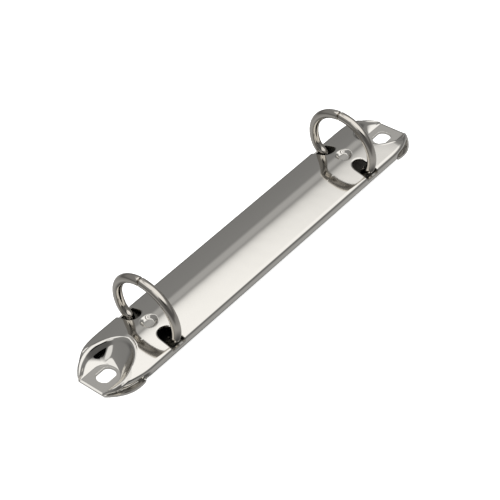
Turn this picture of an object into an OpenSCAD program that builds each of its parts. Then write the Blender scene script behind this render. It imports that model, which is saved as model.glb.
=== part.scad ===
// Two-ring binder mechanism: a stamped sheet cover, two hinged blades under it and four ring halves.
// X runs along the cover, Y across it and Z up. The origin is under the middle, on the base plane.
// The rings are drawn closed. Each blade swings about its outer edge and carries one half of both rings.

/* [Rings] */
// Distance between the two rings, the punch spacing of the sheets that they hold
ring_pitch = 80; // [64:1:100]
// Clear width inside a closed ring
ring_bore = 18; // [16:0.5:20]
// Diameter of the ring wire
wire_d = 2.6; // [2:0.1:3]
// Height of a ring's centre above the base
ring_z = 9.5; // [9:0.1:11]
// Angle below the ring's centre at which the wire starts to turn in under the cover
turn_in = 15; // [5:1:25]
// Gap between the two tips of a closed ring
tip_gap = 0.24; // [0.1:0.02:0.4]
// Diameter of the locating pip on a rear tip
pip_d = 1.4; // [1:0.1:1.6]
// Length of the locating pip
pip_l = 1.1; // [0.8:0.1:1.6]
// Room around the pip in its socket
pip_clear = 0.12; // [0.05:0.01:0.2]

/* [Cover] */
// Width over the side lips
cover_w = 20.6; // [18.6:0.1:23]
// Height of the crown
crown_z = 6.2; // [5.9:0.1:7.5]
// Height of the fold between a slope and its side lip
fold_z = 3.75; // [3.5:0.05:4.2]
// Radius of that fold
fold_r = 1; // [0.6:0.05:1.2]
// Distance over which the two slopes round into each other at the crown
crown_soft = 2; // [1:0.1:3]
// Thickness of the cover's sheet
sheet_t = 0.7; // [0.5:0.05:0.8]
// Height of a lip's curled bottom edge above the base
lip_z = 0.9; // [0.8:0.05:1.2]
// Outer radius of the curl
curl_r = 1; // [0.9:0.05:1.2]
// Width of a ring slot, along the cover
slot_w = 4.6; // [3.8:0.1:5.4]
// Distance from the middle of the cover to the rounded inner end of a ring slot
slot_in = 3.6; // [3:0.1:4]
// Room between the swinging wire and the bottom of its slot
slot_clear = 0.3; // [0.2:0.05:0.6]
// Radius of a stop dimple, over its rolled edge
dimple_r = 2.2; // [1.6:0.1:2.4]
// Depth of a stop dimple
dimple_h = 0.9; // [0.5:0.05:1]

/* [Ends] */
// Distance from a ring to the fixing hole beyond it
ring_to_hole = 17; // [16:0.5:24]
// Diameter across the round ends of a fixing hole
hole_d = 5.3; // [4:0.1:6]
// Distance between the two flats of a fixing hole
hole_flats = 4.4; // [3.4:0.1:5]
// Distance from a fixing hole's centre to the end of the cover
tab_end = 5.4; // [4:0.1:7]
// Width of the flat tab around a fixing hole
tab_w = 8.4; // [7:0.1:9]
// Distance from a fixing hole's centre to the scoop's rim, towards the rings
rim_in = 9.4; // [8.6:0.1:11]
// Distance from a fixing hole's centre to the scoop's rim, sideways
rim_side = 7.3; // [6.8:0.1:7.8]
// How far the rim is rounded over
rim_soft = 0.8; // [0.4:0.1:1.2]
// Radius of the roll on the rim's outer side
rim_roll = 0.85; // [0.4:0.05:1]
// How far the rim's outer flank leans in under it, as a share of its height
flank_lean = 0.2; // [0:0.02:0.25]
// Distance from a fixing hole's centre to where the side wall has closed in on the rim, towards the tip
wall_out = 1; // [0.5:0.1:1.5]
// Length over which the side wall closes in on the rim
turn_l = 9.5; // [8:0.1:10]
// Distance from a fixing hole's centre to where the lip has opened out into the flange, towards the rings
flare_in = 3; // [2.5:0.1:4]
// Length over which the lip opens out
flare_l = 4; // [3:0.1:4.5]
// How far the flange's edge stays in from the cover's side
flange_back = 0.4; // [0.1:0.05:0.8]
// Width of the rim and the flange together at the tip of a tab
tip_rim = 0.5; // [0.4:0.05:0.8]

/* [Blades] */
// Thickness of a blade
blade_t = 0.9; // [0.7:0.05:1]
// Room between a blade's round outer edge and the lip that holds it
edge_clear = 0.12; // [0.05:0.01:0.2]
// Angle by which a blade's inner edge hangs down while the rings are closed
closed_tilt = 9; // [6:0.5:11]
// Angle through which a blade swings to open the rings
open_swing = 21; // [16:1:22]
// Half the gap between the blades' inner edges when they pass level
inner_gap = 0.1; // [0.05:0.05:0.3]
// Distance from the scoop's rim to the end of a blade
blade_back = 1.2; // [1:0.1:4]
// Distance from a blade's hinge axis to the tenon of a ring half
foot_in = 1.6; // [1.5:0.1:2]
// Length of straight wire over the blade
foot_l = 0.1; // [0.05:0.05:0.4]
// Radius of the elbow that turns the wire down into the blade
elbow_r = 1.5; // [1.4:0.05:2]
// Diameter of the tenon that stakes a ring half to its blade
tenon_d = 1.6; // [1.2:0.1:1.8]
// Room around the tenon
tenon_clear = 0.02; // [0.01:0.01:0.05]
// Diameter of the tenon's upset head
head_d = 2.1; // [1.9:0.1:2.2]
// Height of the upset head
head_h = 0.45; // [0.3:0.05:0.5]
// Distance between neighbouring tongues along the blades' inner edges
tongue_pitch = 18; // [14:0.5:20]
// Width of a tongue
tongue_w = 6; // [4:0.5:8]
// How far a tongue reaches past the middle
tongue_l = 1; // [0.5:0.1:1.2]
// Room around a tongue in the notch of the other blade
tongue_clear = 0.5; // [0.4:0.05:0.8]

/* [Hidden] */
$fn = 64;
// Overlap of cutters past the faces that they cut
eps = 1;
// Keeps the rounding of an edge from being divided by nothing
tiny = 0.00001;
nickel = "#c9c8c4";
blade_steel = "#a9a8a3";

// Places along the cover
ring_x = ring_pitch / 2;
hole_x = ring_x + ring_to_hole;
end_x = hole_x + tab_end;
rim_x = hole_x - rim_in;
straight_x = rim_x - 1.5 * rim_soft;
turn_x = hole_x + wall_out - turn_l;
flare_x = hole_x - flare_in;
blade_x = rim_x - blade_back;

// Heights and half widths of the cover
half_w = cover_w / 2;
half_tab = tab_w / 2;
half_flange = half_w - flange_back;
half_tip = half_tab + tip_rim;
tab_z = sheet_t;

// Bows of the end's curves: the rim in plan on both sides of the hole, its fall, the scoop's wall, the side
// wall's turn to the rim, the flange
rim_power = 2.5;
taper_power = 1.8;
fall_power = 0.6;
wall_power = 1.4;
turn_power = 1.6;
flange_power = 2.3;
// Least width of the scoop's wall, at the tip
wall_min = 0.3;
// Hollow under the narrow ridge of an end: how far in and how high, the flank's wall, and the height from
// which these are full
ridge_in = 0.65;
ridge_hollow = 0.62;
ridge_wall = 0.45;
ridge_full = 1.5;
// Step from point to point along the top of that hollow
crest_step = [0.015, -0.02];

// Hinge axis of the rear blade, in Y and Z
hinge = [half_w - sheet_t - edge_clear - blade_t / 2, lip_z + sheet_t + edge_clear + blade_t / 2];
blade_w = hinge.x - inner_gap;

// Path of the rear ring wire, in Y and Z: the ring's own arc, a tighter arc that takes it in under the
// cover, and an elbow the other way that ends square to the blade. Each arc is tangent to the next.
wire_r = wire_d / 2;
ring_r = ring_bore / 2 + wire_r;
turn_at = [ring_r * cos(turn_in), ring_z - ring_r * sin(turn_in)];
inwards = [-cos(turn_in), sin(turn_in)];
blade_out = [cos(closed_tilt), sin(closed_tilt)];
blade_up = [-sin(closed_tilt), cos(closed_tilt)];
elbow_centre = hinge + (elbow_r - foot_in) * blade_out + (blade_t / 2 + foot_l) * blade_up;
elbow_to_turn = turn_at - elbow_centre;
foot_r = (elbow_to_turn * elbow_to_turn - elbow_r ^ 2) / (2 * (elbow_r - elbow_to_turn * inwards));
foot_centre = turn_at + foot_r * inwards;
foot_angle = atan2(foot_centre.y - elbow_centre.y, elbow_centre.x - foot_centre.x);

// Bottom of a ring slot: just under the wire's outside where it passes the lip, closed or open
lip_in = half_w - sheet_t;
open_centre = hinge + turned(foot_centre - hinge, -open_swing);
slot_z = min(wire_low(foot_centre), wire_low(open_centre)) - slot_clear;

function mix(a, b, f) = a + (b - a) * f;
function clamp(f) = min(1, max(0, f));
function ease(a, b, x) = let (f = clamp((x - a) / (b - a))) f * f * (3 - 2 * f);
function turned(p, angle) = [p.x * cos(angle) - p.y * sin(angle), p.x * sin(angle) + p.y * cos(angle)];
// Lowest height of the wire's tighter arc over the lip, for one place of the arc's centre
function wire_low(centre) = centre.y - sqrt((foot_r + wire_r) ^ 2 - (lip_in - centre.x) ^ 2);
// The smaller of two heights, with the corner between them rounded over k
function soft_min(a, b, k) = let (h = max(k - abs(a - b), 0)) min(a, b) - h * h / (4 * k);

// Height of the arch: two flat slopes with a soft crown, through the fold
function crown_drop(y) = sqrt(y * y + crown_soft * crown_soft) - crown_soft;
function arch(y) = crown_z - (crown_z - fold_z) * crown_drop(y) / crown_drop(half_w);
// Height along the falling rim of an end's scoop
function fall(u) = tab_z + (crown_z - tab_z) * clamp((end_x - u) / (end_x - rim_x)) ^ fall_power;
// The rim in plan: polar about the fixing hole on the rings' side, a rounded taper on the outer side
function rim_rho(a) = mix(rim_side, rim_in, cos(a) ^ rim_power);
function taper_y(u) = mix(rim_side, half_tab, ((u - hole_x) / tab_end) ^ taper_power);
function rim_y(u, a) = u < hole_x ? max(rim_rho(a) * sin(a), rim_soft) : taper_y(u);
function floor_y(u) =
    u < hole_x ? sqrt(max(half_tab ^ 2 - (hole_x - u) ^ 2, 0)) : min(half_tab, taper_y(u) - wall_min);
function flange_y(u) =
    mix(half_flange, half_tip, clamp((u - flare_x) / (end_x - flare_x)) ^ flange_power);
// Height of the scoop's wall: its share of the way from the flat tab to the rim sets its rise
function rim_top(a) = min(arch(rim_rho(a) * sin(a)), fall(hole_x - rim_rho(a) * cos(a)));
function scoop(u, y) =
    let (a = atan2(y, hole_x - u), rho = norm([hole_x - u, y]))
    u < hole_x
        ? mix(tab_z, rim_top(a), max((rho - half_tab) / (rim_rho(a) - half_tab), 0) ^ wall_power)
        : mix(tab_z, fall(u), max((y - floor_y(u)) / (taper_y(u) - floor_y(u)), 0) ^ wall_power);
function top_z(u, y) =
    let (k = min(rim_soft, (fall(u) - tab_z) / 2) + tiny)
    soft_min(min(arch(y), fall(u)), scoop(u, y), k);

// Half a cross-section of the sheet at distance u from the middle, where the rim's polar angle is a.
// Its points run from the centre line over the scoop, the rim and the slope to the outer edge.
// flare goes from 0 where the edge is a curled lip to 1 where it lies flat as a flange, and turn from 0
// where the wall over it is the cover's side to 1 where it is the rim's flank.
scoop_steps = 9;
floor_steps = 3;
fold_steps = 3;
slope_shares = [0.09, 0.28, 0.52, 0.77];
function bezier2(p, q, r, f) = mix(mix(p, q, f), mix(q, r, f), f);
function scoop_points(u, a) =
    let (ry = rim_y(u, a), fy = max(floor_y(u), ry * floor_steps / scoop_steps))
    [for (i = [0:scoop_steps])
        let (y = i < floor_steps
            ? fy * i / floor_steps
            : mix(fy, ry, (i - floor_steps) / (scoop_steps - floor_steps)))
        [y, top_z(u, y)]];
curl_angles = [0, 45, 80];
function lip_points() =
    let (from = [half_w - fold_r, arch(half_w - fold_r)], to = [half_w, fold_z - fold_r])
    [from, bezier2(from, [half_w, fold_z], to, 0.5), to,
        for (b = curl_angles) [half_w - curl_r * (1 - cos(b)), lip_z + curl_r * (1 - sin(b))]];
// Over the rolled rim, with a point half way round it, down its flank and out along the flange. The points
// are evenly spread where the rim runs out.
function flange_points(rim, foot_y, edge_y) =
    let (h = rim.y - tab_z, r = min(rim_roll, h / 2), out = rim + [r, -r], foot = [foot_y, tab_z],
        edge = [edge_y, tab_z],
        shaped = [rim + r * [sin(45), cos(45) - 1], out, mix(out, foot, 0.6), foot, mix(foot, edge, 0.5), edge])
    [for (i = [0:5]) mix([mix(rim.x, edge_y, (i + 1) / 6), tab_z], shaped[i], clamp(h / rim_soft))];
function upper(u, a, flare, turn) =
    let (inner = scoop_points(u, a), rim = inner[scoop_steps], lip = lip_points(),
        foot_y = mix(half_w, rim.x - flank_lean * (rim.y - tab_z), turn),
        flange = flange_points(rim, foot_y, flange_y(u)),
        edge = [for (i = [0:5]) mix(lip[i], flange[i], i < fold_steps ? turn : flare)])
    [each inner,
        for (f = slope_shares)
            let (y = mix(rim.x, edge[0].x, f))
            [y, mix(top_z(u, y), mix(rim.y, edge[0].y, f), turn)],
        each edge];
// The sheet's inner face, point for point
function normal(p, i) =
    let (d = p[min(i + 1, len(p) - 1)] - p[max(i - 1, 0)]) [-d.y, d.x] / norm(d);
function lower(p, flare, turn) =
    let (rim = p[scoop_steps], foot = len(p) - fold_steps, h = rim.y - tab_z, full = clamp(h / ridge_full),
        crest = [rim.x - ridge_in * full, ridge_hollow * h])
    [for (i = [0:len(p) - 1])
        i <= scoop_steps
            ? let (in = (rim.x - crest.x) * (i / scoop_steps) ^ 2)
                mix(p[i] - [0, sheet_t], [p[i].x - in, ridge_hollow * (p[i].y - tab_z)], turn)
            : let (inside = p[i] - sheet_t * normal(p, i))
                i < foot
                    ? mix(inside, crest + (i - scoop_steps) * crest_step * full, turn)
                    : mix(inside, [p[i].x - (i == foot ? ridge_wall * full : 0), 0], flare)];
function section(u, a) =
    let (flare = ease(flare_x - flare_l, flare_x, u), turn = clamp((u - turn_x) / turn_l) ^ turn_power,
        p = upper(u, a, flare, turn), q = lower(p, flare, turn), n = len(p) - 1)
    [for (i = [-n:n]) [sign(i) * p[abs(i)].x, p[abs(i)].y],
        for (i = [-n:n]) [sign(i) * q[abs(i)].x, q[abs(i)].y]];

// Sections of one end, from the straight middle to the tip
rim_angles = [0, 9, 18, 28, 38, 47, 55, 61, 66, 71, 76, 83];
tip_angles = [0:15:90];
end_stations = [
    for (f = [0, 0.4, 0.75]) [mix(straight_x, rim_x, f), 0],
    for (a = rim_angles) [hole_x - rim_rho(a) * cos(a), a],
    for (b = tip_angles) [hole_x + tab_end * sin(b), 90]];

// Joins sections of equal length into one closed solid
module sheet_loft(sections, places) {
    n = len(sections[0]);
    h = n / 2;
    last = len(sections) - 1;
    points = [for (i = [0:last]) for (p = sections[i]) [places[i], p.x, p.y]];
    corners = [for (i = [0:last - 1]) for (j = [0:h - 2]) i * n + j];
    upper_faces = [for (k = corners) for (f = [[k, k + 1, k + n + 1], [k, k + n + 1, k + n]]) f];
    lower_faces = [for (c = corners)
        let (k = c + h)
        for (f = [[k, k + n + 1, k + 1], [k, k + n, k + n + 1]]) f];
    edge_faces = [for (i = [0:last - 1])
        let (k = i * n)
        for (f = [[k, k + n, k + n + h], [k, k + n + h, k + h],
            [k + h - 1, k + n - 1, k + 2 * n - 1], [k + h - 1, k + 2 * n - 1, k + n + h - 1]]) f];
    end_faces = [for (j = [0:h - 2])
        let (k = last * n + j)
        for (f = [[j, j + h, j + h + 1], [j, j + h + 1, j + 1], [k, k + 1, k + h + 1], [k, k + h + 1, k + h]])
            f];
    polyhedron(points, concat(upper_faces, lower_faces, edge_faces, end_faces), convexity = 8);
}

module stamped_sheet() {
    half = [for (s = end_stations) section(s[0], s[1])];
    n = len(half) - 1;
    order = [for (i = [-n - 1:n]) i < 0 ? -i - 1 : i];
    side = [for (i = [-n - 1:n]) i < 0 ? -1 : 1];
    sheet_loft([for (i = order) half[i]], [for (i = [0:2 * n + 1]) side[i] * end_stations[order[i]][0]]);
}

// Opening through which a ring half passes the cover, from its rounded inner end out through the lip
module ring_slot() {
    translate([0, 0, slot_z])
        linear_extrude(crown_z)
            union() {
                translate([0, slot_in + slot_w / 2]) circle(d = slot_w);
                translate([-slot_w / 2, slot_in + slot_w / 2]) square([slot_w, half_w]);
            }
}

// Half profile of the pressed stop dimple, as shares of its radius and depth. The metal pushed out under it
// is drawn thinner at the side, and joins the sheet inside its thickness.
dimple_wall = 0.45 * sheet_t;
dimple_join = 0.6 * sheet_t;
dimple_edge = 0.9 * sheet_t;
dimple_profile = [[0, -1], [0.3, -1], [0.46, -0.86], [0.6, -0.5], [0.73, -0.2], [0.88, -0.05], [1, 0]];
module dimple_hollow() {
    profile = [for (p = dimple_profile) [p.x * dimple_r, p.y * dimple_h]];
    translate([0, 0, crown_z])
        rotate_extrude() polygon([each profile, [dimple_r, eps], [0, eps]]);
}
module dimple_bump() {
    profile = [for (i = [0:3]) [dimple_profile[i].x * dimple_r + dimple_wall,
        dimple_profile[i].y * dimple_h - sheet_t]];
    translate([0, 0, crown_z])
        rotate_extrude()
            polygon([[0, -dimple_h - sheet_t], each profile, [dimple_r, -dimple_edge], [0, -dimple_join]]);
}

module fixing_hole() {
    intersection() {
        translate([0, 0, -eps]) cylinder(d = hole_d, h = tab_z + 2 * eps);
        translate([-hole_d, -hole_flats / 2, -eps]) cube([2 * hole_d, hole_flats, tab_z + 2 * eps]);
    }
}

module cover() {
    color(nickel)
        difference() {
            union() {
                stamped_sheet();
                for (x = [-ring_x, ring_x]) translate([x, 0, 0]) dimple_bump();
            }
            for (x = [-ring_x, ring_x]) {
                translate([x, 0, 0]) dimple_hollow();
                for (m = [0, 1]) translate([x, 0, 0]) mirror([0, m, 0]) ring_slot();
            }
            for (x = [-hole_x, hole_x]) translate([x, 0, 0]) fixing_hole();
        }
}

// Frame of the rear blade: Y = 0 on the hinge axis, -Y towards the middle, Z square to the plate
module blade_frame() {
    translate([0, hinge.x, hinge.y]) rotate([closed_tilt, 0, 0]) children();
}

// Blade with its round hinge edge. Tongues stand at one sign of the pattern, notches at the other.
module blade(tongue_sign) {
    reach = blade_w + inner_gap + tongue_l;
    notch_l = tongue_l + inner_gap + tongue_clear;
    notch_w = tongue_w + 2 * tongue_clear;
    difference() {
        union() {
            translate([-blade_x, -blade_w, -blade_t / 2]) cube([2 * blade_x, blade_w, blade_t]);
            translate([-blade_x, 0, 0]) rotate([0, 90, 0]) cylinder(d = blade_t, h = 2 * blade_x);
            for (i = [-1.5, 0.5])
                translate([tongue_sign * i * tongue_pitch - tongue_w / 2, -reach, -blade_t / 2])
                    cube([tongue_w, reach, blade_t]);
        }
        for (i = [-0.5, 1.5])
            translate([tongue_sign * i * tongue_pitch - notch_w / 2, -blade_w - eps, -blade_t])
                cube([notch_w, notch_l + eps, 2 * blade_t]);
        for (x = [-ring_x, ring_x])
            translate([x, -foot_in, -blade_t]) cylinder(d = tenon_d + 2 * tenon_clear, h = 2 * blade_t);
    }
}

module rear_blade() {
    color(blade_steel) blade_frame() blade(1);
}

module front_blade() {
    color(blade_steel) mirror([0, 1, 0]) blade_frame() blade(-1);
}

// Path of the wire from the tip to the blade: each entry holds a point and the way out of the bend there
wire_sides = 20;
ring_steps = 18;
foot_steps = 8;
elbow_steps = 6;
function ray(angle) = [cos(angle), sin(angle)];
function bend(centre, bend_r, from, to, steps, side = 1) =
    [for (i = [1:steps]) let (d = ray(mix(from, to, i / steps))) [centre + bend_r * d, side * d]];
wire_path = let (tip = 90 - asin(tip_gap / 2 / ring_r), last = -ray(180 + closed_tilt))
    [[[0, ring_z] + ring_r * ray(tip), ray(tip)],
        each bend([0, ring_z], ring_r, tip, -turn_in, ring_steps),
        each bend(foot_centre, foot_r, -turn_in, -foot_angle, foot_steps),
        each bend(elbow_centre, elbow_r, 180 - foot_angle, 180 + closed_tilt, elbow_steps, -1),
        [elbow_centre - elbow_r * last - foot_l * blade_up, last]];

// Rear half of a ring: round wire swept along its path, and a tenon upset under the blade
module ring_wire() {
    last = len(wire_path) - 1;
    points = [for (s = wire_path) for (i = [0:wire_sides - 1])
        let (b = 360 * i / wire_sides, p = s[0] + wire_r * cos(b) * s[1])
        [wire_r * sin(b), p.x, p.y]];
    rim = [for (i = [0:wire_sides - 1]) i];
    sides = [for (k = [0:last - 1]) for (i = rim)
        let (j = (i + 1) % wire_sides, a = k * wire_sides, b = a + wire_sides)
        for (f = [[a + i, b + j, a + j], [a + i, b + i, b + j]]) f];
    ends = [rim, [for (i = rim) (last + 1) * wire_sides - 1 - i]];
    polyhedron(points, concat(sides, ends), convexity = 6);
    blade_frame()
        translate([0, -foot_in, -blade_t / 2 - head_h]) {
            cylinder(d1 = tenon_d, d2 = head_d, h = head_h);
            cylinder(d = tenon_d, h = head_h + blade_t + tenon_d / 2);
        }
}

module tip_pip(d, l) {
    translate([0, 0, ring_z + ring_r])
        rotate([90, 0, 0]) translate([0, 0, -wire_r]) cylinder(d = d, h = wire_r + l);
}

module rear_ring_half() {
    color(nickel) {
        ring_wire();
        tip_pip(pip_d, pip_l - tip_gap / 2);
    }
}

module front_ring_half() {
    color(nickel)
        difference() {
            mirror([0, 1, 0]) ring_wire();
            tip_pip(pip_d + 2 * pip_clear, pip_l + pip_clear);
        }
}

cover();
front_blade();
rear_blade();
translate([-ring_x, 0, 0]) front_ring_half();  // left_front_ring_half
translate([-ring_x, 0, 0]) rear_ring_half();  // left_rear_ring_half
translate([ring_x, 0, 0]) front_ring_half();  // right_front_ring_half
translate([ring_x, 0, 0]) rear_ring_half();  // right_rear_ring_half
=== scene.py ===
import math

import bmesh
import bpy
import numpy as np
from mathutils import Matrix, Vector


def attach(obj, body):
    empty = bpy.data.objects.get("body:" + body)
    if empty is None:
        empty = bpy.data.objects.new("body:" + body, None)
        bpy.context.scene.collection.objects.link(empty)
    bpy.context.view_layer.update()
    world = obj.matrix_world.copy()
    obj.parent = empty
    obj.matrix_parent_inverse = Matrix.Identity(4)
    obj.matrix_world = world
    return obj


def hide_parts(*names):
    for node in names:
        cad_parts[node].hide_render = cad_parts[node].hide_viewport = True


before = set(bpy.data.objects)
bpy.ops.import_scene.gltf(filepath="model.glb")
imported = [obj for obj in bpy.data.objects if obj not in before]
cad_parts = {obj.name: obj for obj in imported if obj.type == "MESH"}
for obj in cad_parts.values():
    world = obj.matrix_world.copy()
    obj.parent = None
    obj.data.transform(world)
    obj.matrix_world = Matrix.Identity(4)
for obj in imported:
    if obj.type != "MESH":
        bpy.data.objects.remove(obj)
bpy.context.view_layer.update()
mm = 0.001  # the dictionaries below are in millimetres, the scene is in metres
weld = 1e-7  # metres; points nearer than this become one


def hexLinear(code):
    channels = [int(code[i:i + 2], 16) / 255 for i in (1, 3, 5)]
    linear = [c / 12.92 if c <= 0.04045 else ((c + 0.055) / 1.055) ** 2.4 for c in channels]
    return (*linear, 1.0)


def addNode(tree, kind, settings=None, **inputs):
    # one node with its settings; an input is a plain value, or another node's output to link
    node = tree.nodes.new(kind)
    for name, value in (settings or {}).items():
        setattr(node, name, value)
    for name, value in inputs.items():
        socket = node.inputs[int(name[1:]) if name[1:].isdigit() else name.replace("_", " ")]
        if isinstance(value, bpy.types.NodeSocket):
            tree.links.new(value, socket)
        else:
            socket.default_value = value
    return node


def newMaterial(name):
    material = bpy.data.materials.new(name)
    material.use_nodes = True
    shader = material.node_tree.nodes["Principled BSDF"]
    return material, material.node_tree, shader


def startMesh():
    # operators act on all that is selected, so nothing is when a primitive is added
    if bpy.context.mode != "OBJECT":
        bpy.ops.object.mode_set(mode="OBJECT")
    bpy.ops.object.select_all(action="DESELECT")


def onlyActive(piece):
    startMesh()
    piece.select_set(True)
    bpy.context.view_layer.objects.active = piece


def readPoints(piece):
    points = np.empty(len(piece.data.vertices) * 3)
    piece.data.vertices.foreach_get("co", points)
    return points.reshape(-1, 3)


def writePoints(piece, points):
    piece.data.vertices.foreach_set("co", np.ascontiguousarray(points, float).ravel())
    piece.data.update()


def applyPlace(piece):
    onlyActive(piece)
    bpy.ops.object.transform_apply(location=True, rotation=True, scale=True)


def signedVolume(piece):
    shell = bmesh.new()
    shell.from_mesh(piece.data)
    volume = shell.calc_volume(signed=True)
    shell.free()
    return volume


def flipFaces(piece):
    onlyActive(piece)
    bpy.ops.object.mode_set(mode="EDIT")
    bpy.ops.mesh.select_all(action="SELECT")
    bpy.ops.mesh.flip_normals()
    bpy.ops.object.mode_set(mode="OBJECT")


def faceOutwards(piece):
    onlyActive(piece)
    bpy.ops.object.mode_set(mode="EDIT")
    bpy.ops.mesh.select_all(action="SELECT")
    bpy.ops.mesh.normals_make_consistent(inside=False)
    bpy.ops.object.mode_set(mode="OBJECT")
    # the operator turns a bent wire inside out, which shows as a negative volume
    if signedVolume(piece) < 0:
        flipFaces(piece)


def selectOpenEdges():
    bpy.ops.mesh.select_all(action="DESELECT")
    bpy.ops.mesh.select_non_manifold(extend=False, use_wire=False, use_multi_face=False,
                                     use_non_contiguous=False, use_verts=False)


def extrudeBy(x, y, z):
    bpy.ops.mesh.extrude_region_move(TRANSFORM_OT_translate={"value": (x, y, z)})


def smoothFaces(piece, degrees):
    onlyActive(piece)
    bpy.ops.object.shade_smooth_by_angle(angle=math.radians(degrees))


def cutWith(piece, cutter):
    onlyActive(piece)
    cut = piece.modifiers.new("cut", "BOOLEAN")
    cut.operation = "DIFFERENCE"
    cut.solver = "MANIFOLD"
    cut.object = cutter
    bpy.ops.object.modifier_apply(modifier=cut.name)
    bpy.data.objects.remove(cutter)


def finishPiece(piece, name, body, material, node):
    piece.name = name
    piece.data.name = name
    piece.data.materials.clear()
    piece.data.materials.append(material)
    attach(piece, body)
    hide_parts(node)


def newMetal(name, look):
    material, tree, shader = newMaterial(name)
    shader.inputs["Base Color"].default_value = hexLinear(look["colour"])
    shader.inputs["Metallic"].default_value = 1.0
    place = addNode(tree, "ShaderNodeTexCoord").outputs["Object"]
    return material, tree, shader, place


def rollLines(tree, place, look):
    # noise drawn out along the strip, as its rolling lines are
    across = 1 / (look["rollLine"] * mm)
    stretched = addNode(tree, "ShaderNodeMapping", Vector=place,
                        Scale=(1 / (look["rollLength"] * mm), across, across))
    lines = addNode(tree, "ShaderNodeTexNoise", Vector=stretched.outputs[0], Scale=1.0,
                    Detail=look["rollDetail"])
    return lines.outputs["Fac"]


def unevenGloss(tree, shader, look, pattern):
    half = look["roughnessSpread"] / 2
    gloss = addNode(tree, "ShaderNodeMapRange", Value=pattern,
                    To_Min=look["roughness"] - half, To_Max=look["roughness"] + half)
    tree.links.new(gloss.outputs[0], shader.inputs["Roughness"])


# Bright nickel plate over rolled and pressed steel: a mirror with a warm grey cast. The strip's rolling lines
# run along the cover and show only as a faint unevenness of the gloss.
plateLook = {
    "colour": "#d9d6d0",
    "roughness": 0.06,
    "roughnessSpread": 0.02,
    "rollLine": 0.5,       # mm between rolling lines, across the cover
    "rollLength": 40.0,    # mm along the cover
    "rollDetail": 3.0,
    "waviness": 6.0,       # mm, the press's slow unevenness
    "wavinessBump": 0.02,
    "wavinessDepth": 1.0,  # mm
}


def makePlate():
    look = plateLook
    material, tree, shader, place = newMetal("brightNickelPlate", look)
    unevenGloss(tree, shader, look, rollLines(tree, place, look))
    waves = addNode(tree, "ShaderNodeTexNoise", Vector=place, Scale=1 / (look["waviness"] * mm), Detail=1.0)
    bump = addNode(tree, "ShaderNodeBump", Strength=look["wavinessBump"], Distance=look["wavinessDepth"] * mm,
                   Height=waves.outputs["Fac"])
    tree.links.new(bump.outputs[0], shader.inputs["Normal"])
    return material


# Nickel plate on drawn wire: the same mirror, a little darker, with a fine unevenness of the gloss
wireLook = {
    "colour": "#cdc8c0",
    "roughness": 0.09,
    "roughnessSpread": 0.06,
    "speck": 0.4,          # mm
}


def makeWire():
    look = wireLook
    material, tree, shader, place = newMetal("brightNickelWire", look)
    specks = addNode(tree, "ShaderNodeTexNoise", Vector=place, Scale=1 / (look["speck"] * mm), Detail=2.0)
    unevenGloss(tree, shader, look, specks.outputs["Fac"])
    return material


# Cold rolled steel strip: satin, with rolling lines along the blade. Its colour is darkened as painted shade,
# so that the blades stay dark inside the cover
bladePaintedShadeLook = {
    # painted shade: darker than the steel's own colour
    "colour": "#4a4945",
    "roughness": 0.38,
    "roughnessSpread": 0.16,
    "rollLine": 0.12,      # mm
    "rollLength": 14.0,    # mm
    "rollDetail": 4.0,
    "bump": 0.08,
    "bumpDepth": 0.02,     # mm
}


def makeBladeSteel():
    look = bladePaintedShadeLook
    material, tree, shader, place = newMetal("rolledBladeSteelPaintedShade", look)
    lines = rollLines(tree, place, look)
    unevenGloss(tree, shader, look, lines)
    bump = addNode(tree, "ShaderNodeBump", Strength=look["bump"], Distance=look["bumpDepth"] * mm,
                   Height=lines)
    tree.links.new(bump.outputs[0], shader.inputs["Normal"])
    return material


nickelPlate = makePlate()
nickelWire = makeWire()
bladeSteel = makeBladeSteel()
print("materials done")

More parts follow.
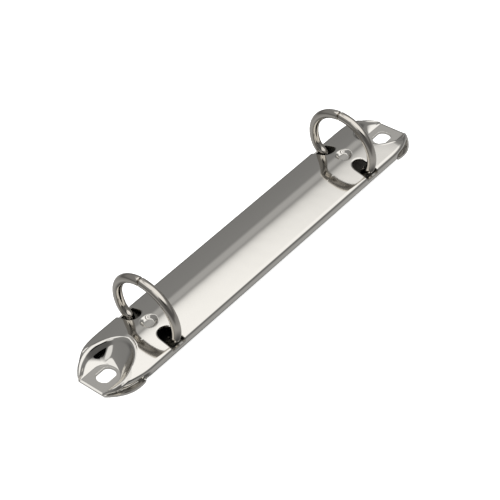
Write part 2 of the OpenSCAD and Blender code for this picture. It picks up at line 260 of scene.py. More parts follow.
# Cover: one pressed sheet. Half a cross-section runs from the centre line over the scoop of an end, its rim
# and the slope to the edge, which is a curled lip along the middle and a flat flange round the ends.
cover = {
    # the arch, its fold and the curled lip
    "width": 20.6, "crownZ": 6.2, "foldZ": 3.75, "foldR": 1.0, "crownSoft": 2.0, "sheet": 0.7,
    "lipZ": 0.9, "curlR": 1.0, "curlEnd": 80.0,
    # ring slots and the drawn-in edge round them
    "slotW": 4.6, "slotIn": 3.6, "slotZ": 2.81, "slotRollW": 0.35, "slotRollH": 0.16,
    # stop dimples, from above and from below
    "dimpleR": 2.55, "dimpleH": 1.0, "dimpleFloor": 0.5, "dimpleUnderR": 2.2, "dimpleUnderH": 0.9,
    # places along the cover and the fixing holes
    "ringX": 40.0, "holeX": 57.0, "endX": 62.4, "holeD": 5.3, "holeFlats": 4.4, "holeRoll": 0.15,
    # tab, scoop and the rolled rim, which is flattest at its shoulder (degrees of bend)
    "tabW": 8.4, "tipRim": 0.5, "floorIn": 3.3, "rimIn": 9.4, "rimSide": 7.3, "rimSoft": 1.1, "rimRoll": 0.85,
    "shoulder": 3.0, "shoulderAt": 36.0, "shoulderSpread": 14.0, "wallMin": 0.3,
    # flank under the rim and the flange that the lip opens into
    "flankLean": 0.08, "footIn": 1.0, "footFillet": 0.3, "wallOut": 1.0, "turnL": 9.5, "turnSoft": 0.2,
    "flareIn": 3.0, "flareL": 4.0, "flangeBack": 0.4,
    # where along a half section, 1 at the fold and 2 at the edge, the flare takes over from the turn
    "flareRun": (1.3, 1.7),
    # drawn-down edge of the tip and the low bead on the rim
    "tipFall": 0.16, "tipFallL": 0.42, "tipFallEase": 0.4,
    "beadH": 0.26, "beadW": 1.0, "beadIn": 0.3, "beadStart": 0.4,
    # how each of the curves bends
    "rimPower": 3.3, "taperPower": 1.8, "fallPower": 0.6, "wallPower": 1.35, "turnPower": 1.6,
    "flangePower": 2.3,
    # hollow under the narrow ridge of an end, and the step from point to point along its top
    "ridgeIn": 0.65, "ridgeHollow": 0.62, "ridgeWall": 0.45, "ridgeFull": 1.5,
    "ridgeStart": 0.14, "ridgeStep": (0.1, -0.13),
    # shares of the run from fold to edge over which the flank's wall ends and the flange's underside begins
    "wallFade": (0.6, 0.8), "underFade": (0.45, 0.6),
    # points across half a section and round the cuts, and degrees up to which edges are shaded smooth
    "floorColumns": 7, "wallColumns": 38, "slopeColumns": 52, "edgeColumns": 24,
    "slotPoints": 128, "holePoints": 96, "smooth": 32,
}
cover["halfW"] = cover["width"] / 2
cover["halfTab"] = cover["tabW"] / 2
cover["halfFlange"] = cover["halfW"] - cover["flangeBack"]
cover["halfTip"] = cover["halfTab"] + cover["tipRim"]
cover["tabZ"] = cover["sheet"]
cover["rimX"] = cover["holeX"] - cover["rimIn"]
cover["straightX"] = cover["rimX"] - 1.5 * cover["rimSoft"]
cover["turnX"] = cover["holeX"] + cover["wallOut"] - cover["turnL"]
cover["flareX"] = cover["holeX"] - cover["flareIn"]


def mix(a, b, f):
    return a + (b - a) * f


def clamp(f):
    return np.clip(f, 0.0, 1.0)


def between(a, b, x):
    return clamp((x - a) / (b - a))


def ease(a, b, x):
    f = between(a, b, x)
    return f * f * (3 - 2 * f)


def softMin(a, b, k):
    h = np.maximum(k - np.abs(a - b), 0)
    return np.minimum(a, b) - h * h / (4 * k)


def crownDrop(y):
    return np.sqrt(y * y + cover["crownSoft"] ** 2) - cover["crownSoft"]


def archZ(y):
    return cover["crownZ"] - (cover["crownZ"] - cover["foldZ"]) * crownDrop(y) / crownDrop(cover["halfW"])


def fallZ(u):
    left = clamp((cover["endX"] - u) / (cover["endX"] - cover["rimX"]))
    return cover["tabZ"] + (cover["crownZ"] - cover["tabZ"]) * left ** cover["fallPower"]


def rimRho(a):
    return mix(cover["rimSide"], cover["rimIn"], np.maximum(np.cos(a), 0) ** cover["rimPower"])


def taperY(u):
    past = clamp((u - cover["holeX"]) / (cover["endX"] - cover["holeX"]))
    return mix(cover["rimSide"], cover["halfTab"], past ** cover["taperPower"])


def floorRho(a):
    # the tab's flat is half an ellipse on the inner side of its hole
    return 1 / np.hypot(np.cos(a) / cover["floorIn"], np.sin(a) / cover["halfTab"])


def floorY(u):
    if u < cover["holeX"]:
        return cover["halfTab"] * math.sqrt(max(1 - ((cover["holeX"] - u) / cover["floorIn"]) ** 2, 0))
    return min(cover["halfTab"], taperY(u) - cover["wallMin"])


def flangeY(u):
    past = clamp((u - cover["flareX"]) / (cover["endX"] - cover["flareX"]))
    return mix(cover["halfFlange"], cover["halfTip"], past ** cover["flangePower"])


def scoopZ(u, y):
    tabZ = cover["tabZ"]
    if u < cover["holeX"]:
        a = np.arctan2(y, cover["holeX"] - u)
        rho = np.hypot(cover["holeX"] - u, y)
        rimZ = np.minimum(archZ(rimRho(a) * np.sin(a)), fallZ(cover["holeX"] - rimRho(a) * np.cos(a)))
        share = (rho - floorRho(a)) / (rimRho(a) - floorRho(a))
        return mix(tabZ, rimZ, np.maximum(share, 0) ** cover["wallPower"])
    share = (y - floorY(u)) / (taperY(u) - floorY(u))
    return mix(tabZ, fallZ(u), np.maximum(share, 0) ** cover["wallPower"])


def topZ(u, y):
    k = min(cover["rimSoft"], (fallZ(u) - cover["tabZ"]) / 2) + 1e-5
    return softMin(np.minimum(archZ(y), fallZ(u)), scoopZ(u, y), k)


def beadRise(u, y):
    # the rim stands a little proud of the sheet, as a low bead
    if u < cover["holeX"]:
        fromRim = np.hypot(cover["holeX"] - u, y) - rimRho(np.arctan2(y, cover["holeX"] - u))
    else:
        fromRim = y - taperY(u)
    fullness = float(clamp((fallZ(u) - cover["tabZ"]) / cover["ridgeFull"] - cover["beadStart"]))
    height = cover["beadH"] * fullness
    return height * clamp(1 - ((fromRim + cover["beadIn"]) / cover["beadW"]) ** 2) ** 2


def bezier(p, q, r, f):
    f = f[:, None]
    return mix(mix(p, q, f), mix(q, r, f), f)


def arc(centre, r, begin, end, n=40):
    # points of an arc about centre, its angles measured from the vertical towards the edge
    bend = np.radians(np.linspace(begin, end, n))
    return centre + r * np.stack([np.sin(bend), np.cos(bend)], 1)


def monotone(x, knotX, knotY):
    # smooth rising curve through the knots, so that two curves walked by it blend without a crease
    step, rise = np.diff(knotX), np.diff(knotY)
    slope = rise / step
    inner = 2 * slope[:-1] * slope[1:] / np.maximum(slope[:-1] + slope[1:], 1e-9)
    tangent = np.concatenate([slope[:1], inner, slope[-1:]])
    i = np.clip(np.searchsorted(knotX, x, "right") - 1, 0, len(step) - 1)
    f = (x - knotX[i]) / step[i]
    return (knotY[i] + rise[i] * f * f * (3 - 2 * f)
            + step[i] * (tangent[i] * f * (1 - f) ** 2 - tangent[i + 1] * f * f * (1 - f)))


def walk(parts, knots, places):
    # points at the given places along a curve given in parts, the part borders lying at the knots
    lengths = [0.0] + [np.linalg.norm(np.diff(part, axis=0), axis=1).sum() for part in parts]
    points = np.concatenate([parts[0]] + [part[1:] for part in parts[1:]])
    along = np.concatenate([[0], np.cumsum(np.linalg.norm(np.diff(points, axis=0), axis=1))])
    at = monotone(places, np.array(knots), np.cumsum(lengths))
    return np.stack([np.interp(at, along, points[:, 0]), np.interp(at, along, points[:, 1])], 1)


def lipCurve(u, rim, places):
    # from the rim down the slope, over the fold, down the side wall and round the curl
    halfW, foldR, curlR = cover["halfW"], cover["foldR"], cover["curlR"]
    y = np.linspace(rim[0], halfW - foldR, 200)
    share = np.linspace(0, 1, 200)
    z = topZ(u, y)
    slope = np.stack([y, z + share ** 2 * (archZ(y[-1]) - z[-1])], 1)
    wallTop = np.array([halfW, cover["foldZ"] - foldR])
    curl = np.array([halfW - curlR, cover["lipZ"] + curlR])
    fold = bezier(slope[-1], np.array([halfW, cover["foldZ"]]), wallTop, np.linspace(0, 1, 40))
    wall = np.stack([wallTop, curl + (curlR, 0)])
    parts = [slope, fold, wall, arc(curl, curlR, 90, 90 + cover["curlEnd"])]
    return walk(parts, [0, 1, 1.4, 1.6, 2], places)


def rollPath(rim, tilt, leave, reach):
    # a rolled edge from the tilt of the scoop's wall to the lean of the flank, flattest at its shoulder
    bend = np.linspace(-tilt, leave, 120)
    step = 1 + cover["shoulder"] * np.exp(-((bend - cover["shoulderAt"]) / cover["shoulderSpread"]) ** 2)
    heading = np.stack([np.cos(np.radians(bend)), -np.sin(np.radians(bend))], 1)
    way = np.cumsum(step[:, None] * heading, axis=0)
    way -= way[0]
    return rim + way * reach / way[:, 0].max()


def flangeCurve(rim, tilt, footY, edgeY, places):
    # over the rolled rim, down the flank that leaves it at a tangent, through a fillet and along the flange
    tabZ = cover["tabZ"]
    h = rim[1] - tabZ
    foot, edge = np.array([footY, tabZ]), np.array([edgeY, tabZ])
    leave = 90.0
    for _ in range(4):
        roll = rollPath(rim, tilt, leave, min(cover["rimRoll"], h / 2))
        away = foot - roll[-1]
        leave = mix(leave, math.degrees(math.atan2(-away[1], away[0])), 0.7)
    flank = np.linalg.norm(away)
    fillet = min(cover["footFillet"], 0.45 * abs(edgeY - footY), 0.45 * flank)
    fillet1, fillet2 = foot - fillet / max(flank, 1e-6) * away, foot + (fillet, 0)
    hollow = bezier(fillet1, foot, fillet2, np.linspace(0, 1, 20))
    parts = [roll[:60], roll[59:], np.stack([roll[-1], fillet1]), hollow, np.stack([fillet2, edge])]
    shaped = walk(parts, [0, 1, 1.2, 1.5, 1.7, 2], places)
    spread = np.interp(places, [0, 1, 2], [0, 1 / 6, 1])
    flat = np.stack([mix(rim[0], edgeY, spread), tabZ + h * (1 - ease(0, 0.5, spread))], 1)
    return mix(flat, shaped, float(clamp(h / cover["rimSoft"])))


def halfSection(u, a):
    size = cover
    floorN, wallN = size["floorColumns"], size["wallColumns"]
    slopeN, edgeN = size["slopeColumns"], size["edgeColumns"]
    flare = float(ease(size["flareX"] - size["flareL"], size["flareX"], u))
    turned = max((u - size["turnX"]) / size["turnL"], 0) ** size["turnPower"]
    turn = float(softMin(turned, 1.0, size["turnSoft"]))
    rimY = max(rimRho(a) * math.sin(a), size["rimSoft"]) if u < size["holeX"] else taperY(u)
    floorEnd = max(floorY(u), rimY * floorN / (floorN + wallN))
    wallShare = np.linspace(0, 1, wallN + 1)
    y = np.concatenate([np.linspace(0, floorEnd, floorN, endpoint=False), mix(floorEnd, rimY, wallShare)])
    inner = np.stack([y, topZ(u, y)], 1)
    rim = inner[-1]
    probe = 0.01
    near = topZ(u, rimY + np.array([-probe, 0.0]))
    tilt = math.degrees(math.atan2(near[1] - near[0], probe))
    footY = mix(size["halfW"] - size["footIn"], rim[0] - size["flankLean"] * (rim[1] - size["tabZ"]), turn)
    places = np.concatenate([np.linspace(0, 1, slopeN + 1)[1:-1], np.linspace(1, 2, edgeN)])
    t = places[-edgeN:] - 1
    weight = mix(turn ** 2, flare, ease(*size["flareRun"], places))[:, None]
    outer = mix(lipCurve(u, rim, places), flangeCurve(rim, max(tilt, 0), footY, flangeY(u), places), weight)
    upper = np.concatenate([inner, outer])
    edge = upper[-edgeN:]

    # inner face, point for point; under the narrow ridge of an end it keeps a small hollow
    step = np.gradient(upper, axis=0)
    step[0] = (1, 0)
    normal = np.stack([-step[:, 1], step[:, 0]], 1) / np.linalg.norm(step, axis=1)[:, None]
    inside = upper - size["sheet"] * normal
    if u < size["straightX"]:
        upper = upper - slotRoll(u, upper)[:, None] * normal
    h = rim[1] - size["tabZ"]
    full = float(clamp(h / size["ridgeFull"]))
    crest = np.array([rim[0] - size["ridgeIn"] * full, size["ridgeHollow"] * h])
    n = len(inner)
    pull = (rim[0] - crest[0]) * np.linspace(0, 1, n) ** 2
    scoopIn = mix(inner - (0, size["sheet"]),
                  np.stack([inner[:, 0] - pull, size["ridgeHollow"] * (inner[:, 1] - size["tabZ"])], 1), turn)
    k = np.linspace(size["ridgeStart"], 1, len(outer))[:, None] * np.array(size["ridgeStep"]) * full
    ridgeIn = mix(inside[n:], crest + k, turn)
    wall = size["ridgeWall"] * full * (1 - between(*size["wallFade"], t))
    flangeIn = mix(inside[-edgeN:], np.stack([edge[:, 0] - wall, np.zeros(edgeN)], 1), flare)
    low = between(*size["underFade"], t)[:, None]
    ridgeIn[-edgeN:] = mix(ridgeIn[-edgeN:], flangeIn, low)
    lower = np.concatenate([scoopIn, ridgeIn])

    # a bead along the rim; the sheared edge of the tip is drawn down a little
    upper[:, 1] += beadRise(u, upper[:, 0]) * (upper[:, 1] > size["tabZ"] + size["footFillet"])
    past = float(clamp(1 - (size["endX"] - u) / size["tipFallL"]))
    upper[:, 1] -= size["tipFall"] * past * min(past / size["tipFallEase"], 1)
    return upper, lower


def coverStations():
    # places along the right half: sparse in the plain middle, close round the ring slots, then the end
    side = cover["slotW"] / 2 + np.array([0, 0.04, 0.1, 0.18, 0.28, 0.4, 0.6])
    slot = cover["ringX"] + np.concatenate([-side[::-1], np.linspace(-side[0], side[0], 37)[1:-1], side])
    beyond = np.linspace(slot[-1], cover["straightX"], 5)[1:]
    middle = np.concatenate([np.linspace(0, slot[0], 7)[:-1], slot, beyond])
    places = [(u, 0.0) for u in middle]
    places += [(u, 0.0) for u in np.linspace(cover["straightX"], cover["rimX"], 9)[1:-1]]
    for a in np.radians(np.concatenate([np.arange(0, 30, 2.5), np.arange(30, 86, 1), np.arange(86, 90, 2)])):
        places.append((cover["holeX"] - rimRho(a) * math.cos(a), a))
    tip = cover["endX"] - cover["holeX"]
    for b in np.radians(np.arange(0, 90.1, 5)):
        places.append((cover["holeX"] + tip * math.sin(b), math.pi / 2))
    return places


def dimpleDrop(x, y, under):
    # pressed from above with a flat punch; the underside is drawn softer
    r, h = (cover["dimpleUnderR"], cover["dimpleUnderH"]) if under else (cover["dimpleR"], cover["dimpleH"])
    rho = np.hypot(np.abs(x) - cover["ringX"], y) / r
    return h * (1 - ease(0 if under else cover["dimpleFloor"], 1, rho))


def slotRoll(x, upper):
    # the punched edges of a ring slot are drawn in: how far the sheet's top sinks there, along its normal
    halfW = cover["slotW"] / 2
    s = np.concatenate([[0], np.cumsum(np.linalg.norm(np.diff(upper, axis=0), axis=1))])
    centre = np.interp(cover["slotIn"] + halfW, upper[:, 0], s)
    onWall = (upper[:, 0] > cover["halfW"] - 0.01) & (upper[:, 1] < cover["slotZ"])
    outer = s[np.argmax(onWall)]
    across = abs(abs(x) - cover["ringX"])
    away = np.where(s < centre, np.hypot(across, s - centre) - halfW, np.maximum(across - halfW, s - outer))
    return cover["slotRollH"] * clamp(1 - away / cover["slotRollW"]) ** 2


def fillGrid(piece, rows):
    # rows of points, one row for each station, written over a grid of the same size
    rowN, columnN = rows.shape[:2]
    start = readPoints(piece)
    i = np.rint((start[:, 0] - start[:, 0].min()) / np.ptp(start[:, 0]) * (rowN - 1)).astype(int)
    j = np.rint((start[:, 1] - start[:, 1].min()) / np.ptp(start[:, 1]) * (columnN - 1)).astype(int)
    writePoints(piece, rows[i, j] * mm)


def stadium(n, offset, inner, outer, width):
    # outline of a ring slot in the flattened sheet: round inner end, straight sides, square outer end
    half = width / 2 + offset
    bend = np.linspace(-math.pi / 2, math.pi / 2, n // 2)
    centre = inner + width / 2
    top = np.stack([half * np.sin(bend), centre - half * np.cos(bend)], 1)
    sides = np.linspace(centre, outer + offset, n // 8 + 1)[1:]
    right = np.stack([np.full(len(sides), half), sides], 1)
    bottom = np.linspace(half, -half, n - len(top) - 2 * len(sides) + 2)[1:-1]
    foot = np.stack([bottom, np.full(len(bottom), outer + offset)], 1)
    left = right[::-1] * (-1, 1)
    return np.concatenate([top, right, foot, left])


def doubleD(n, offset):
    # outline of a fixing hole: round ends and two flats
    r, flat = cover["holeD"] / 2 + offset, cover["holeFlats"] / 2 + offset
    a = np.linspace(0, 2 * math.pi, n, endpoint=False)
    return np.stack([r * np.cos(a), np.clip(r * np.sin(a), -flat, flat)], 1)


def prismCutter(n, levels, place):
    # a filled circle extruded once for each level, then laid out by place(level, count)
    startMesh()
    bpy.ops.mesh.primitive_circle_add(vertices=n, radius=1, fill_type="NGON")
    cutter = bpy.context.object
    bpy.ops.object.mode_set(mode="EDIT")
    for _ in range(levels - 1):
        extrudeBy(0, 0, 1)
    bpy.ops.object.mode_set(mode="OBJECT")
    unit = readPoints(cutter)
    index = np.rint(np.arctan2(unit[:, 1], unit[:, 0]) / (2 * math.pi) * n).astype(int) % n
    level = np.rint(unit[:, 2]).astype(int)
    outlines = np.stack([place(k, n) for k in range(levels)])
    writePoints(cutter, outlines[level, index] * mm)
    faceOutwards(cutter)
    return cutter


def rollLevels(radius, steps=6):
    # offset and height of a rounded edge, from outside and over the sheet to inside and under its top
    bend = np.radians(np.linspace(8, 90, steps))
    rounded = [(radius * (1 - math.sin(b)), -radius * (1 - math.cos(b))) for b in bend]
    return [(radius, 0.2)] + rounded + [(0, -2.0)]


def slotCutter(x, side):
    heights = [cover["slotZ"], cover["crownZ"] + 1]

    def place(k, n):
        flat = stadium(n, 0, cover["slotIn"], cover["halfW"] + 1, cover["slotW"])
        return np.stack([x + flat[:, 0], side * flat[:, 1], np.full(n, heights[k])], 1)
    return prismCutter(cover["slotPoints"], len(heights), place)


def holeCutter(x):
    levels = rollLevels(cover["holeRoll"])

    def place(k, n):
        offset, height = levels[k]
        flat = doubleD(n, offset)
        return np.stack([x + flat[:, 0], flat[:, 1], np.full(n, cover["tabZ"] + height)], 1)
    return prismCutter(cover["holePoints"], len(levels), place)


def makeCover():
    right = coverStations()
    halves = [halfSection(u, a) for u, a in right]
    order = list(range(len(right) - 1, 0, -1)) + list(range(len(right)))
    signs = [-1] * (len(right) - 1) + [1] * len(right)
    faces = []
    for which in (0, 1):
        rows = []
        for i, sign in zip(order, signs):
            half = halves[i][which]
            both = np.concatenate([half[:0:-1] * (-1, 1), half])
            x = np.full(len(both), sign * right[i][0])
            drop = dimpleDrop(x, both[:, 0], which == 1)
            rows.append(np.stack([x, both[:, 0], both[:, 1] - drop], 1))
        rows = np.array(rows)
        if which == 1:
            rows = rows[::2, ::2]  # the inner face needs half the points
        startMesh()
        bpy.ops.mesh.primitive_grid_add(x_subdivisions=rows.shape[0] - 1,
                                        y_subdivisions=rows.shape[1] - 1, size=1)
        sheet = bpy.context.object
        fillGrid(sheet, rows)
        faces.append(sheet)
    flipFaces(faces[1])
    faces[0].select_set(True)
    bpy.context.view_layer.objects.active = faces[0]
    bpy.ops.object.join()
    piece = faces[0]
    bpy.ops.object.mode_set(mode="EDIT")
    bpy.ops.mesh.select_mode(type="EDGE")
    selectOpenEdges()
    bpy.ops.mesh.bridge_edge_loops()
    bpy.ops.object.mode_set(mode="OBJECT")
    faceOutwards(piece)
    for x in (-cover["ringX"], cover["ringX"]):
        for side in (-1, 1):
            cutWith(piece, slotCutter(x, side))
    for x in (-cover["holeX"], cover["holeX"]):
        cutWith(piece, holeCutter(x))
    smoothFaces(piece, cover["smooth"])
    finishPiece(piece, "pressedCover", "cover", nickelPlate, "cover")
    print("cover done", len(piece.data.polygons), "faces")


makeCover()

# Hinge line in Y and Z of the rear side, the blades' closed tilt in degrees and their thickness
hinge = {"place": (9.03, 2.17), "tilt": 9.0, "bladeT": 0.9}

# Ring halves: wire bent in three tangent arcs from the tip to the blade, with a tenon staked under the blade
ring = {
    "bore": 18.0, "wireD": 2.6, "z": 9.5, "turnIn": 15.0,
    # tips: the gap between them, their rounded edge, and the pip with the share of it that is straight
    "tipGap": 0.24, "tipRound": 0.5, "tipSteps": 6,
    "pipD": 1.4, "pipL": 1.1, "pipClear": 0.12, "pipSide": 0.8,
    # foot on the blade, tenon and its staked head
    "footIn": 1.6, "footL": 0.1, "elbowR": 1.5, "tenonD": 1.6, "headD": 2.1, "headH": 0.45,
    "headSide": 0.6, "headTaper": 0.97,
    # points round the wire and along each arc, and degrees up to which edges are shaded smooth
    "sides": 48, "ringSteps": 56, "footSteps": 24, "elbowSteps": 16, "smooth": 32,
}


def ray(degrees):
    return np.array([math.cos(math.radians(degrees)), math.sin(math.radians(degrees))])


def wireBends():
    # centre, start angle, end angle and steps of each arc, for the rear half, in Y and Z
    r = ring["bore"] / 2 + ring["wireD"] / 2
    bladeOut, bladeUp = ray(hinge["tilt"]), ray(90 + hinge["tilt"])
    elbow = (np.array(hinge["place"]) + (ring["elbowR"] - ring["footIn"]) * bladeOut
             + (hinge["bladeT"] / 2 + ring["footL"]) * bladeUp)
    turnAt = np.array([0, ring["z"]]) + r * ray(-ring["turnIn"])
    inwards = -ray(-ring["turnIn"])
    way = turnAt - elbow
    footR = (way @ way - ring["elbowR"] ** 2) / (2 * (ring["elbowR"] - way @ inwards))
    foot = turnAt + footR * inwards
    footAngle = math.degrees(math.atan2(foot[1] - elbow[1], elbow[0] - foot[0]))
    tip = 90 - math.degrees(math.asin(ring["tipGap"] / 2 / r))
    bends = [(np.array([0, ring["z"]]), tip, -ring["turnIn"], ring["ringSteps"]),
             (foot, -ring["turnIn"], -footAngle, ring["footSteps"]),
             (elbow, 180 - footAngle, 180 + hinge["tilt"], ring["elbowSteps"])]
    return r, tip, bends, bladeUp


def makeRingHalf(x, side, name, node, body):
    # drawn as the rear half, with the open end of the last step left selected for the next one
    r, tip, bends, bladeUp = wireBends()
    start = np.array([0, ring["z"]]) + r * ray(tip)
    wireR = ring["wireD"] / 2
    startMesh()
    bpy.ops.mesh.primitive_circle_add(vertices=ring["sides"], radius=wireR * mm, fill_type="NOTHING",
                                      location=(x * mm, start[0] * mm, start[1] * mm),
                                      rotation=(math.radians(tip), 0, 0))
    piece = bpy.context.object
    applyPlace(piece)
    bpy.ops.object.mode_set(mode="EDIT")
    bpy.ops.mesh.select_mode(type="VERT")
    bpy.ops.mesh.select_all(action="SELECT")
    for centre, begin, end, steps in bends:
        bpy.ops.mesh.spin(steps=steps, angle=math.radians(begin - end), axis=(1, 0, 0), use_auto_merge=False,
                          center=(x * mm, centre[0] * mm, centre[1] * mm))
    down = -bladeUp * mm

    def extrudeDown(distance, scale):
        extrudeBy(0, *(down * distance))
        if scale != 1:
            bpy.ops.transform.resize(value=(scale, scale, scale))
    tenonR, headR = ring["tenonD"] / 2, ring["headD"] / 2
    extrudeDown(ring["footL"], 1)
    extrudeDown(0, tenonR / wireR)
    extrudeDown(hinge["bladeT"], 1)
    extrudeDown(0, headR / tenonR)
    extrudeDown(ring["headSide"] * ring["headH"], ring["headTaper"])
    extrudeDown((1 - ring["headSide"]) * ring["headH"], tenonR / headR / ring["headTaper"])
    bpy.ops.mesh.edge_face_add()
    # the tip: its edge rounded, then a pip on a rear half or a socket for it in a front half
    selectOpenEdges()
    along = np.array([-math.sin(math.radians(tip)), math.cos(math.radians(tip))]) * mm
    pipR = ring["pipD"] / 2 + (0 if side > 0 else ring["pipClear"])
    depth = ring["pipL"] if side > 0 else -(ring["pipL"] + ring["pipClear"])
    rounding = ring["tipRound"]
    corner = np.radians(np.linspace(0, 90, ring["tipSteps"]))
    points = [(wireR - rounding * (1 - math.cos(b)), rounding * (math.sin(b) - 1)) for b in corner]
    points += [(pipR, 0), (pipR, depth * ring["pipSide"]), (ring["pipSide"] * pipR, depth)]
    bpy.ops.transform.translate(value=(0, *(along * -rounding)))
    radius, at = wireR, -rounding
    for newR, newAt in points[1:]:
        extrudeBy(0, *(along * (newAt - at)))
        bpy.ops.transform.resize(value=(newR / radius,) * 3)
        radius, at = newR, newAt
    bpy.ops.mesh.edge_face_add()
    bpy.ops.mesh.select_all(action="SELECT")
    bpy.ops.mesh.remove_doubles(threshold=weld)
    bpy.ops.object.mode_set(mode="OBJECT")
    writePoints(piece, readPoints(piece) * (1, side, 1))
    faceOutwards(piece)
    smoothFaces(piece, ring["smooth"])
    finishPiece(piece, name, body, nickelWire, node)


for side, sideName in ((-1, "front"), (1, "rear")):
    for x, xName in ((-cover["ringX"], "left"), (cover["ringX"], "right")):
        makeRingHalf(x, side, xName + sideName.title() + "RingWire", f"{xName}_{sideName}_ring_half",
                     sideName + "_leaf")
print("ring halves done")

# Blades: flat strip with a round hinge edge, tongues and notches along the inner edge
blade = {
    "halfL": 46.4, "innerGap": 0.1, "tonguePitch": 18.0, "tongueW": 6.0, "tongueL": 1.0, "tongueClear": 0.5,
    # share of the half thickness that the hinge edge is rounded by
    "roundShare": 0.98, "roundSteps": 8,
    # break of the other edges, at corners sharper than the angle in degrees
    "edgeRound": 0.08, "edgeSteps": 2, "edgeAngle": 40, "smooth": 35,
}


def makeBlade(side, name, node, body):
    # flat in its own frame first: Y = 0 on the hinge axis, -Y towards the middle
    t = hinge["bladeT"]
    width = hinge["place"][0] - blade["innerGap"]
    notch = blade["tongueL"] + blade["innerGap"] + blade["tongueClear"]
    reach = blade["innerGap"] + blade["tongueL"]
    back = width - notch
    tongues = [side * i * blade["tonguePitch"] for i in (-1.5, 0.5)]
    notches = [side * i * blade["tonguePitch"] for i in (-0.5, 1.5)]
    cuts = sorted([c + e * blade["tongueW"] / 2 for c in tongues for e in (-1, 1)]
                  + [c + e * (blade["tongueW"] / 2 + blade["tongueClear"]) for c in notches for e in (-1, 1)])
    startMesh()
    bpy.ops.mesh.primitive_cube_add(size=1, location=(0, (t / 2 - back) / 2 * mm, 0),
                                    scale=(2 * blade["halfL"] * mm, (back + t / 2) * mm, t * mm))
    piece = bpy.context.object
    applyPlace(piece)
    bpy.ops.object.mode_set(mode="EDIT")
    bpy.ops.mesh.select_mode(type="FACE")
    for x in cuts:
        bpy.ops.mesh.select_all(action="SELECT")
        bpy.ops.mesh.bisect(plane_co=(x * mm, 0, 0), plane_no=(1, 0, 0))

    def selectEdgeFaces(keep):
        bpy.ops.mesh.select_all(action="DESELECT")
        bpy.ops.object.mode_set(mode="OBJECT")
        for f in piece.data.polygons:
            f.select = f.normal.y < -0.9 and keep(f.center.x / mm)
        bpy.ops.object.mode_set(mode="EDIT")
    selectEdgeFaces(lambda x: all(abs(x - c) > blade["tongueW"] / 2 for c in notches))
    extrudeBy(0, -notch * mm, 0)
    selectEdgeFaces(lambda x: any(abs(x - c) < blade["tongueW"] / 2 for c in tongues))
    extrudeBy(0, -reach * mm, 0)
    bpy.ops.mesh.select_all(action="SELECT")
    bpy.ops.mesh.remove_doubles(threshold=weld)
    bpy.ops.mesh.normals_make_consistent(inside=False)
    bpy.ops.mesh.dissolve_limited(angle_limit=math.radians(1))
    # the hinge edge is round all the way, the other edges only broken
    bpy.ops.mesh.select_mode(type="EDGE")
    bpy.ops.mesh.select_all(action="DESELECT")
    bpy.ops.object.mode_set(mode="OBJECT")
    points = readPoints(piece)
    for e in piece.data.edges:
        ends = points[list(e.vertices)]
        e.select = bool((ends[:, 1] > t / 2 * mm - 1e-6).all() and abs(ends[0, 0] - ends[1, 0]) > 1 * mm)
    bpy.ops.object.mode_set(mode="EDIT")
    bpy.ops.mesh.bevel(offset=blade["roundShare"] * t / 2 * mm, segments=blade["roundSteps"], profile=0.5)
    bpy.ops.object.mode_set(mode="OBJECT")
    soften = piece.modifiers.new("edges", "BEVEL")
    soften.width = blade["edgeRound"] * mm
    soften.segments = blade["edgeSteps"]
    soften.limit_method = "ANGLE"
    soften.angle_limit = math.radians(blade["edgeAngle"])
    onlyActive(piece)
    bpy.ops.object.modifier_apply(modifier=soften.name)
    turn = math.radians(hinge["tilt"])
    points = readPoints(piece)
    y = points[:, 1] * math.cos(turn) - points[:, 2] * math.sin(turn) + hinge["place"][0] * mm
    z = points[:, 1] * math.sin(turn) + points[:, 2] * math.cos(turn) + hinge["place"][1] * mm
    writePoints(piece, np.stack([points[:, 0], side * y, z], 1))
    faceOutwards(piece)
    smoothFaces(piece, blade["smooth"])
    finishPiece(piece, name, body, bladeSteel, node)


makeBlade(-1, "frontBlade", "front_blade", "front_leaf")
makeBlade(1, "rearBlade", "rear_blade", "rear_leaf")
print("blades done")

# Stage: pale floor, a grey room with a soft box overhead, and the camera
stage = {
    "floorColour": "#f4f4f2", "floorRoughness": 0.9, "floorGlow": 0.8, "floorSize": 3.0,  # metres
    "cameraAzimuth": -43.046, "cameraElevation": 41.857, "cameraRoll": -8.767, "cameraDistance": 438.866,
    "cameraTarget": (-0.374, 0.815, 0.0), "focalPixels": 1617.373, "imagePixels": 500, "sensor": 36.0,
}
# grey of the room by height: elevation in degrees, then the level
room = [(-90, 0.10), (-40, 0.45), (-15, 0.35), (0, 0.15), (20, 0.28), (90, 0.32)]
# what stands in the room, later ones in front: azimuth from +X towards +Y and elevation of both ends, half
# width in degrees where it is full and where it has faded out, level
studio = {
    "darkSide": ((-120, 12), (-120, 12), 15, 45, 0.12),
    "softBox": ((-65, 70), (-65, 70), 30, 45, 1.30),
    "backWall": ((47, 42), (47, 42), 4, 20, 0.50),
    "whiteCard": ((-160, 44), (-160, 44), 8, 13, 1.00),
    "cameraAndStand": ((-112, 31), (-134, 37), 5, 7, 0.00),
    "backStrip": ((80, 56), (170, 60), 9, 12, 1.20),
}


def makeFloor():
    material, tree, shader = newMaterial("paleStudioFloor")
    shader.inputs["Base Color"].default_value = hexLinear(stage["floorColour"])
    shader.inputs["Roughness"].default_value = stage["floorRoughness"]
    shader.inputs["Emission Color"].default_value = (1, 1, 1, 1)
    shader.inputs["Emission Strength"].default_value = stage["floorGlow"]
    startMesh()
    bpy.ops.mesh.primitive_plane_add(size=stage["floorSize"])
    floor = bpy.context.object
    floor.name = "floor"
    floor.data.materials.append(material)
    floor.visible_glossy = False


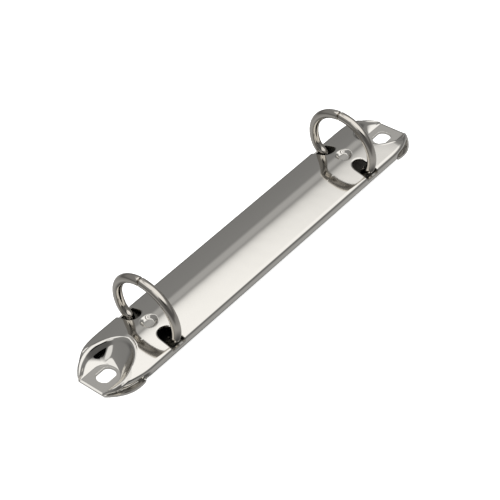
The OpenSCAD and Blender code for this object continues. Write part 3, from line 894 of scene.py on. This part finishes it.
def makeSurround():
    world = bpy.data.worlds.new("studio")
    bpy.context.scene.world = world
    world.use_nodes = True
    tree = world.node_tree
    way = addNode(tree, "ShaderNodeTexCoord").outputs["Generated"]
    height = addNode(tree, "ShaderNodeSeparateXYZ", Vector=way).outputs["Z"]
    share = addNode(tree, "ShaderNodeMapRange", Value=height, From_Min=-1.0, From_Max=1.0)
    ramp = addNode(tree, "ShaderNodeValToRGB", Fac=share.outputs[0])
    ramp.color_ramp.interpolation = "EASE"
    top = max(thing[-1] for thing in studio.values())
    stops = ramp.color_ramp.elements
    while len(stops) < len(room):
        stops.new(0.5)
    for stop, (elevation, level) in zip(stops, room):
        stop.position = (math.sin(math.radians(elevation)) + 1) / 2
        stop.color = (level / top, level / top, level / top, 1)
    colour = ramp.outputs["Color"]
    for first, last, full, gone, level in studio.values():
        steps = 1 + math.ceil(math.dist(first, last) / full)
        for f in np.linspace(0, 1, steps):
            azimuth, elevation = mix(np.array(first), np.array(last), f)
            flat, high = ray(azimuth) * math.cos(math.radians(elevation)), math.sin(math.radians(elevation))
            towards = addNode(tree, "ShaderNodeVectorMath", {"operation": "DOT_PRODUCT"}, _0=way,
                              _1=(*flat, high))
            share = addNode(tree, "ShaderNodeMapRange", {"interpolation_type": "SMOOTHSTEP"},
                            Value=towards.outputs["Value"], From_Min=math.cos(math.radians(gone)),
                            From_Max=math.cos(math.radians(full)))
            mixed = addNode(tree, "ShaderNodeMix", {"data_type": "RGBA"}, _0=share.outputs[0], _6=colour,
                            _7=(level / top, level / top, level / top, 1))
            colour = mixed.outputs[2]
    background = tree.nodes["Background"]
    tree.links.new(colour, background.inputs["Color"])
    background.inputs["Strength"].default_value = top


def makeCamera():
    az, el, roll = (math.radians(stage[k]) for k in ("cameraAzimuth", "cameraElevation", "cameraRoll"))
    back = Vector((math.sin(az) * math.cos(el), -math.cos(az) * math.cos(el), math.sin(el)))
    right = Vector((math.cos(az), math.sin(az), 0))
    up = back.cross(right)
    right2 = math.cos(roll) * right + math.sin(roll) * up
    up2 = -math.sin(roll) * right + math.cos(roll) * up
    lens = bpy.data.cameras.new("camera")
    lens.sensor_width = stage["sensor"]
    lens.lens = stage["focalPixels"] * stage["sensor"] / stage["imagePixels"]
    lens.clip_start = 0.01
    camera = bpy.data.objects.new("camera", lens)
    bpy.context.scene.collection.objects.link(camera)
    stand = (Vector(stage["cameraTarget"]) + back * stage["cameraDistance"]) * mm
    camera.matrix_world = Matrix.Translation(stand) @ Matrix((right2, up2, back)).transposed().to_4x4()
    bpy.context.scene.camera = camera


makeFloor()
makeSurround()
makeCamera()
bpy.context.scene.view_settings.view_transform = "Standard"
print("stage done")
